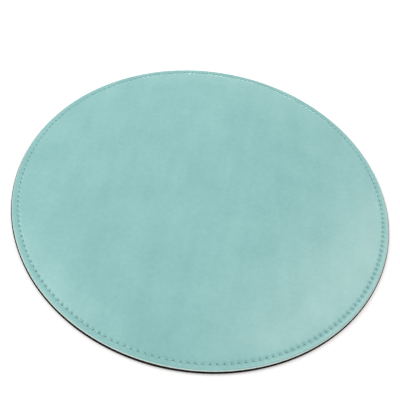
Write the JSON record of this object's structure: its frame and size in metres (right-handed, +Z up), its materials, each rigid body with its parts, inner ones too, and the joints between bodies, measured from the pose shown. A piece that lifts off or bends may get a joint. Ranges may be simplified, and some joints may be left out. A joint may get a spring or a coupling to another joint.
{
  "type": "mouse pad",
  "caption": "Round flat mouse pad: a coated-cloth facing glued over a thin board and sewn to a larger rubber base by a row of lockstitch near the edge.",
  "frame": {"origin": "middle of the underside, on the surface that the pad lies on", "axes": "+Z up, out of the face that is used; the pad is round about Z, and +X and +Y lie in the surface"},
  "size_m": [0.22, 0.22, 0.003],
  "materials": {
    "facing_film": "satin polyurethane film with a fine smooth grain and cloudy shading",
    "backing_cloth": "pale matt cloth, seen only at its cut edge",
    "glue": "thin dried contact glue",
    "core_board": "pressed fibre board with a skived edge",
    "base_rubber": "dark brown-black matt rubber with a fine non-slip texture",
    "upper_thread": "plied polyester sewing thread in the colour of the facing",
    "lower_thread": "plied polyester sewing thread in the colour of the base"
  },
  "bodies": {
    "root": {"facing_skin": "facing_film", "facing_backing_cloth": "backing_cloth", "upper_glue_film": "glue", "core_board": "core_board", "lower_glue_film": "glue", "base_sheet": "base_rubber", "needle_thread": "upper_thread", "bobbin_thread": "lower_thread"}
  },
  "joints": []
}
